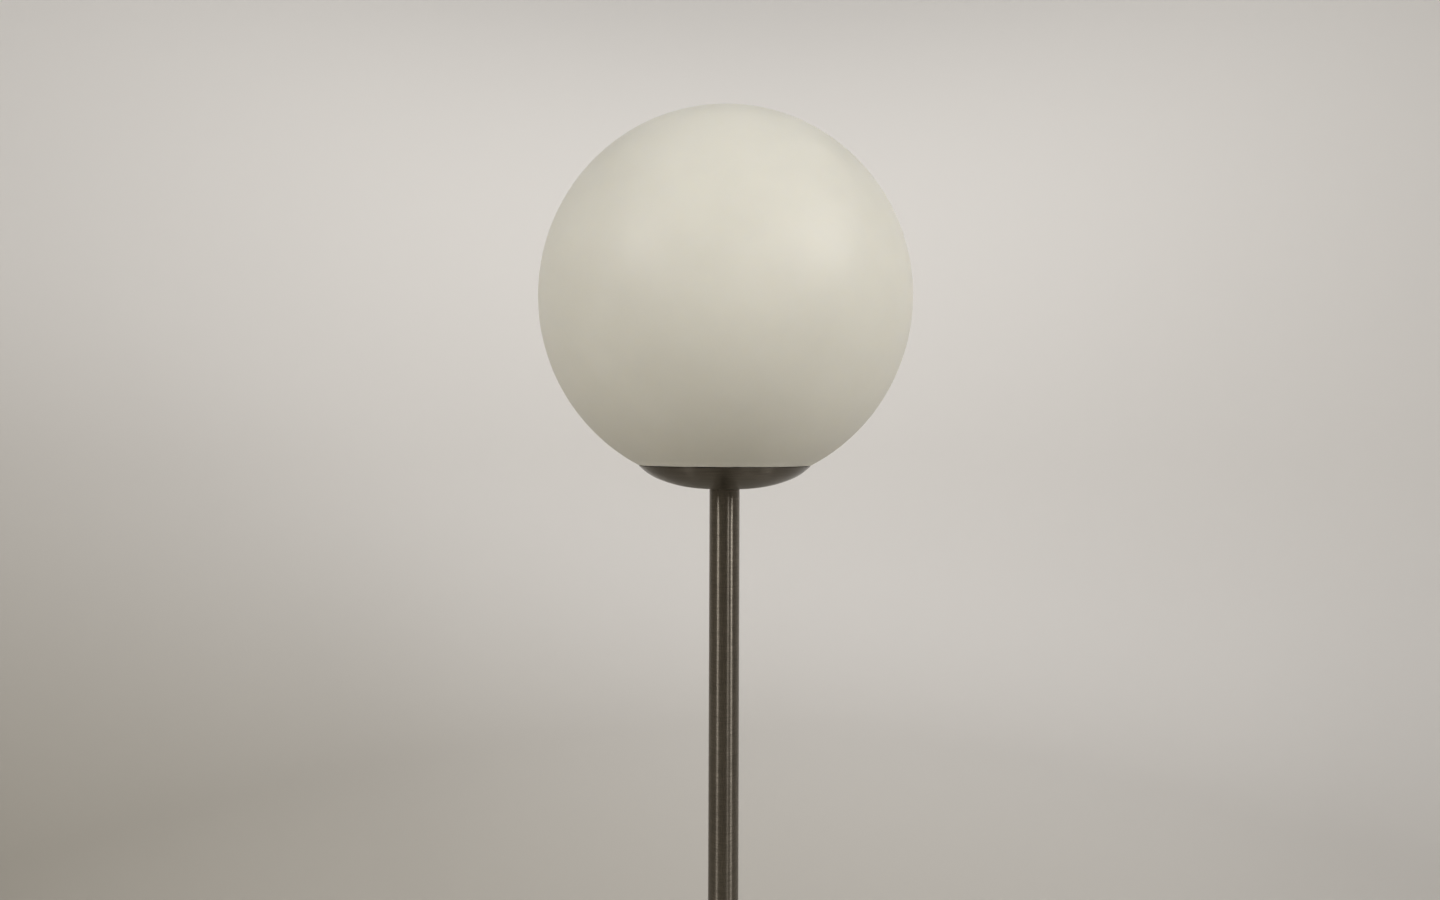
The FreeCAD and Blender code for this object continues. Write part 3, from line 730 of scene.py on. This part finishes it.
# The bulb, and the threaded sleeve that its cap screws into.
bulb = {
    "pitch": 0.00363,
    "threadDepth": 0.0008,
    "threadStart": 0.002,  # height over which the thread fades in
    "threadEnd": 0.003,
    "plainBand": 0.004,  # above the thread
    "threadRows": 90,
    "plainRows": 5,
    "threadColumns": 96,
    "threadEdge": 60,  # sharp angle, wide so that the round thread has no drawn edge
    "capSheet": 0.0003,
    "play": 0.0003,  # between the cap and the sleeve that takes it
    "sleeveEdge": 0.0004,
    "sleeveRows": 100,
    "sleeveHole": 0.0095,
    "spigotRadius": 0.0115,
    "neckRadius": 0.0142,
    "waistRadius": 0.0166,
    "waistHeight": 0.012,
    "flareRows": 30,  # of the collar
    "domeWall": 0.0014,
    "domeRows": (36, 18, 12, 24),  # ball and its draw-in outside, then the same inside from below
    "seam": 0.0004,
    "columns": 128,
}


# Radius less the round thread, threadDepth (1 - cos(turns)) / 2 deep, where turns is 2 pi height / pitch less
# the angle. It fades in from the lower height and out to the upper one.
def threaded(low, high):
    def shape(radius, height, angle):
        turns = fullTurn * (height - low) / bulb["pitch"] - angle
        fadeIn = np.clip((height - low) / bulb["threadStart"], 0, 1)
        fade = fadeIn * np.clip((high - height) / bulb["threadEnd"], 0, 1)
        return radius - bulb["threadDepth"] * (1 - np.cos(turns)) / 2 * fade, height
    return shape


# Arc through three points of (radius, height).
def arcThrough(first, middle, last, count):
    points = np.array([first, middle, last], dtype=float)
    sides = 2 * (points[1:] - points[0])
    squares = (points[1:] ** 2).sum(axis=1) - (points[0] ** 2).sum()
    centre = np.linalg.solve(sides, squares)
    turns = np.unwrap(np.arctan2(points[:, 1] - centre[1], points[:, 0] - centre[0]))
    angles = np.linspace(turns[0], turns[2], count)
    radius = np.linalg.norm(points[0] - centre)
    return np.stack([centre[0] + radius * np.cos(angles), centre[1] + radius * np.sin(angles)], axis=-1)


# Straight sleeve of thin sheet whose two faces are threaded alike, with a plain band above.
def makeBulbCap():
    low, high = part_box("bulb_cap")
    outer = high.x
    inner = outer - bulb["capSheet"]
    threadTop = high.z - bulb["plainBand"]
    rows, plain = bulb["threadRows"], bulb["plainRows"]
    profile = joined(
        run((outer, low.z), (outer, threadTop), rows), run((outer, threadTop), (outer, high.z), plain),
        run((inner, high.z), (inner, threadTop), plain), run((inner, threadTop), (inner, low.z), rows),
    )
    turned(
        "bulbCap", profile, bulb["threadColumns"], "bulb", materials["capMetal"], ("bulb_cap",),
        threaded(low.z, threadTop), bulb["threadEdge"],
    )


# Sleeve with a floor and a hole in it. Its thread is the cap's, and the floor inside the sleeve stays flat.
def makeScrewShell():
    low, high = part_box("screw_shell")
    outer = high.x
    inner = radiusOf("bulb_cap") + bulb["play"]
    floorTop = low.z + (outer - inner)
    edge = bulb["sleeveEdge"]
    rows = bulb["sleeveRows"]
    profile = joined(
        (bulb["sleeveHole"], low.z), (outer, low.z),
        run((outer, low.z + edge), (outer, high.z - edge), rows),
        (outer - edge / 2, high.z), (inner, high.z),
        run((inner, high.z - edge), (inner, floorTop), rows),
        (bulb["sleeveHole"], floorTop),
    )
    capThread = threaded(lowOf("bulb_cap"), highOf("bulb_cap") - bulb["plainBand"])

    def shape(radius, height, angle):
        cut = capThread(radius, height, angle)[0]
        return np.where(radius > inner - holder["fit"], cut, radius), height

    turned(
        "screwShell", profile, bulb["threadColumns"], "stand", materials["brass"], ("screw_shell",),
        shape, bulb["threadEdge"],
    )


# Moulded body: spigot inside the cap, neck, flared waist and a thin seam under the dome.
def makeBulbCollar():
    low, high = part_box("bulb_collar")
    top = high.x
    capTop = highOf("bulb_cap")
    seam = bulb["seam"]
    profile = joined(
        (0, low.z), (bulb["spigotRadius"], low.z), (bulb["spigotRadius"], capTop),
        (bulb["neckRadius"] - seam, capTop), (bulb["neckRadius"], capTop + seam),
        arcThrough(
            (bulb["neckRadius"], capTop + seam), (bulb["waistRadius"], capTop + bulb["waistHeight"]),
            (top, high.z - seam), bulb["flareRows"],
        ),
        (top - seam, high.z), (0, high.z),
    )
    turned(
        "bulbCollar", profile, bulb["columns"], "bulb", materials["whitePlastic"],
        ("bulb_collar",),
    )


# Hollow diffuser: half ball above, drawn in to the collar below.
def makeBulbDome():
    low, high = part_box("bulb_dome")
    outer = high.x
    middle = high.z - outer
    wall = bulb["domeWall"]
    foot = radiusOf("bulb_collar")
    neck = (foot + outer) / 2 + wall / 2
    waist = (low.z + middle) / 2
    ballRows, neckRows, innerNeckRows, innerBallRows = bulb["domeRows"]
    skin = arc((0, middle), outer, 90, 0, ballRows)
    lining = arc((0, middle), outer - wall, 0, 90, innerBallRows)
    skin[0, 0] = 0
    lining[-1, 0] = 0
    profile = joined(
        skin, arcThrough((outer, middle), (neck, waist), (foot, low.z), neckRows),
        arcThrough((foot - wall, low.z), (neck - wall, waist), (outer - wall, middle), innerNeckRows), lining,
    )
    turned(
        "bulbDome", profile, bulb["columns"], "bulb", materials["whiteDiffuser"],
        ("bulb_dome",),
    )


makeHolderCap()
makeHolderShell()
makeBulbCap()
makeScrewShell()
makeBulbCollar()
makeBulbDome()
print("stage: lampholder and bulb made")


nut = {
    "pieces": {"cup_nut": ("cupNut", 0.014), "foot_nut": ("footNut", 0.017)},  # name and width across flats
    "bore": 0.00505,
    "chamfer": 0.0007,
    "faceShare": 0.96,  # radius of the flat end face, as a share of half the width
    "rows": 8,
    "columns": 192,
    "sharpAngle": 25,
}


# Hexagon nut: the radius is the lesser of a turned profile with cones at both ends and of the flat,
# flats / 2 / cos(angle off the flat's middle), so the chamfer runs out in curves.
def makeNut(nodeName, name, flats):
    low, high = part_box(nodeName)
    half = flats / 2
    corner = half / math.cos(math.radians(30))
    face = half * nut["faceShare"]
    profile = joined(
        (nut["bore"], low.z), (face, low.z),
        run((corner, low.z + nut["chamfer"]), (corner, high.z - nut["chamfer"]), nut["rows"]),
        (face, high.z), (nut["bore"], high.z),
    )

    def hexagon(radius, height, angle):
        offMiddle = np.mod(angle, fullTurn / 6) - fullTurn / 12
        return np.minimum(radius, half / np.cos(offMiddle)), height

    turned(
        name, profile, nut["columns"], "stand", materials["zincSteel"], (nodeName,),
        hexagon, nut["sharpAngle"],
    )


bushing = {
    "bore": 0.0033,  # this and the next four are radii
    "body": 0.0043,
    "inner": 0.0052,
    "outer": 0.006,
    "snout": 0.0048,
    "flange": 0.0012,
    "snoutLength": 0.0016,
    "round": 0.0005,
    "taper": 0.0004,
    "lip": 0.0003,
    "roundRows": 5,
    "columns": 72,
}


# Bushing turned about a line along Y: inner flange, waist through the cover's wall, rounded outer flange and
# tapered snout.
def makeBushing():
    low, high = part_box("cord_bushing")
    middle = (low.z + high.z) / 2
    innerFace = low.y + bushing["flange"]
    flangeTop = high.y - bushing["snoutLength"]
    outerFace = flangeTop - bushing["flange"]
    edge, lip = bushing["round"], bushing["lip"]
    tip = bushing["snout"] - bushing["taper"]
    bore = bushing["bore"]
    profile = joined(
        (bore, low.y), (bushing["inner"], low.y), (bushing["inner"], innerFace),
        (bushing["body"], innerFace), (bushing["body"], outerFace), (bushing["outer"], outerFace),
        arc((bushing["outer"] - edge, flangeTop - edge), edge, 0, 90, bushing["roundRows"]),
        (bushing["snout"], flangeTop), (tip, high.y - lip), (tip - lip, high.y),
        (bore + lip, high.y), (bore, high.y - lip),
    )
    mesh = gridMesh("cordBushing", laidAlongY(turnedGrid(profile, bushing["columns"]), middle))
    addPiece("cordBushing", mesh, "stand", materials["blackPlastic"], ("cord_bushing",))


for nodeName, (name, flats) in nut["pieces"].items():
    makeNut(nodeName, name, flats)
makeBushing()
print("stage: nuts and bushing made")


# The CAD nodes that stay, by finish.
kept = {
    "castIron": ("base_weight",),
    "padFoam": ("base_pad",),
    "zincSteel": (
        "foot_lock_washer", "foot_washer", "foot_pipe", "foot_bush", "head_bush", "head_pipe",
        "cup_washer", "earth_tag", "seat_ring", "neck_screw", "terminal_screws",
    ),
    "springSteel": ("glass_spider",),
    "gasketRubber": ("seat_gasket",),
    "brass": ("terminals", "centre_contact", "bulb_contact"),
    "porcelain": ("holder_insert",),
    "blackGlass": ("bulb_insulator",),
    "boardMetal": ("bulb_board",),
}

for finish, nodeNames in kept.items():
    for nodeName in nodeNames:
        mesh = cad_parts[nodeName].data
        mesh.materials.clear()
        mesh.materials.append(materials[finish])
print("stage: finishes given to the CAD nodes that stay")


studio = {
    "floorRadius": 2.6,
    "coveRadius": 1.2,
    "wallHeight": 5.0,
    "rows": (30, 30, 20),  # of the floor, the cove and the wall
    "columns": 160,
    "paleColor": (0.75, 0.735, 0.72),  # wall and far floor
    "paintedShadeColor": (0.38, 0.355, 0.305),  # painted shade: the paper's colour on the camera's side, to the left and low down
    "slope": (0.6, 1.0, 2.0),  # how fast the paper turns pale with x, y and z
    "shadeFrom": -1.6,  # where along that slope it starts to turn pale
    "shadeTo": 5.2,  # where it is pale
    "worldColor": (1.0, 0.99, 0.97),
    "worldStrength": 0.08,
    "paperRoughness": 0.95,
    "glow": 0.03,  # the paper's own light, as a share of its color
}


# Round backdrop: flat floor, quarter-circle cove and upright wall, turned round the lamp's middle.
def makeStudio():
    wallRadius = studio["floorRadius"] + studio["coveRadius"]
    cove = studio["coveRadius"]
    floorRows, coveRows, wallRows = studio["rows"]
    profile = np.vstack([
        run((0, 0), (studio["floorRadius"], 0), floorRows),
        arc((studio["floorRadius"], cove), cove, -90, 0, coveRows)[1:],
        run((wallRadius, cove), (wallRadius, studio["wallHeight"]), wallRows)[1:],
    ])
    mesh = gridMesh("studio", turnedGrid(profile, studio["columns"]))
    mesh.flip_normals()
    mesh.shade_smooth()
    material, tree, shader = newMaterial("studioPaper", studio["paleColor"], studio["paperRoughness"])
    shader.inputs["Specular IOR Level"].default_value = 0.0
    # Painted shade: along slope, the paper darkens from paleColor to paintedShadeColor towards the camera's
    # side, the left and the floor.
    coordinates = addNode(tree, "TexCoord")
    across = {0: coordinates.outputs["Object"], 1: studio["slope"]}
    reach = addNode(tree, "VectorMath", across, operation="DOT_PRODUCT").outputs["Value"]
    limits = {"Value": reach, "From Min": studio["shadeFrom"], "From Max": studio["shadeTo"]}
    share = addNode(tree, "MapRange", limits, interpolation_type="SMOOTHSTEP").outputs["Result"]
    paper = mixColors(tree, share, studio["paintedShadeColor"], studio["paleColor"])
    tree.links.new(paper, shader.inputs["Base Color"])
    tree.links.new(paper, shader.inputs["Emission Color"])
    shader.inputs["Emission Strength"].default_value = studio["glow"]
    mesh.materials.append(material)
    backdrop = bpy.data.objects.new("studio", mesh)
    bpy.context.scene.collection.objects.link(backdrop)


# Three tall boxes high on both sides draw the streaks down the tube. The fill is wide and low, and stays out
# of the metal's reflections. The two washes are turned to the paper, behind the lamp and behind the camera.
lights = {
    "topBox": {"place": (0.0, 0.6, 4.4), "size": (3.2, 3.2), "power": 10.0, "target": (0, 0, 1.25)},
    "leftStrip": {"place": (-1.71, -1.38, 2.27), "size": (0.30, 0.9), "power": 16.5, "target": (0, 0, 1.2)},
    "rightStrip": {"place": (1.90, -1.10, 2.27), "size": (0.22, 0.9), "power": 20.5, "target": (0, 0, 1.2)},
    "middleStrip": {"place": (1.13, -1.89, 2.27), "size": (0.20, 0.9), "power": 8.5, "target": (0, 0, 1.2)},
    "fill": {"place": (-0.3, -2.4, 1.3), "size": (3.0, 1.4), "power": 11.0, "target": (0, 0, 1.25)},
    "wallWash": {"place": (0.0, 0.7, 3.2), "size": (3.0, 0.8), "power": 55.0, "target": (0, 3.8, 1.9)},
    "frontWash": {"place": (-0.9, -0.9, 3.2), "size": (3.0, 0.8), "power": 28.0, "target": (-2.9, -2.5, 1.9)},
}
lightColor = (1.0, 0.985, 0.96)


# Area lights turned to their targets and unseen by the camera, in a dim even world.
def makeLights():
    for name, values in lights.items():
        data = bpy.data.lights.new(name, "AREA")
        data.shape = "RECTANGLE"
        data.size, data.size_y = values["size"]
        data.energy = values["power"]
        data.color = lightColor
        light = bpy.data.objects.new(name, data)
        light.location = values["place"]
        towards = Vector(values["target"]) - light.location
        light.rotation_euler = towards.to_track_quat("-Z", "Y").to_euler()
        light.visible_camera = False
        light.visible_glossy = name != "fill"
        bpy.context.scene.collection.objects.link(light)
    world = bpy.data.worlds.new("studioWorld")
    world.use_nodes = True
    background = world.node_tree.nodes["Background"]
    background.inputs["Color"].default_value = (*studio["worldColor"], 1)
    background.inputs["Strength"].default_value = studio["worldStrength"]
    bpy.context.scene.world = world


makeStudio()
makeLights()
print("stage: studio and lights made")
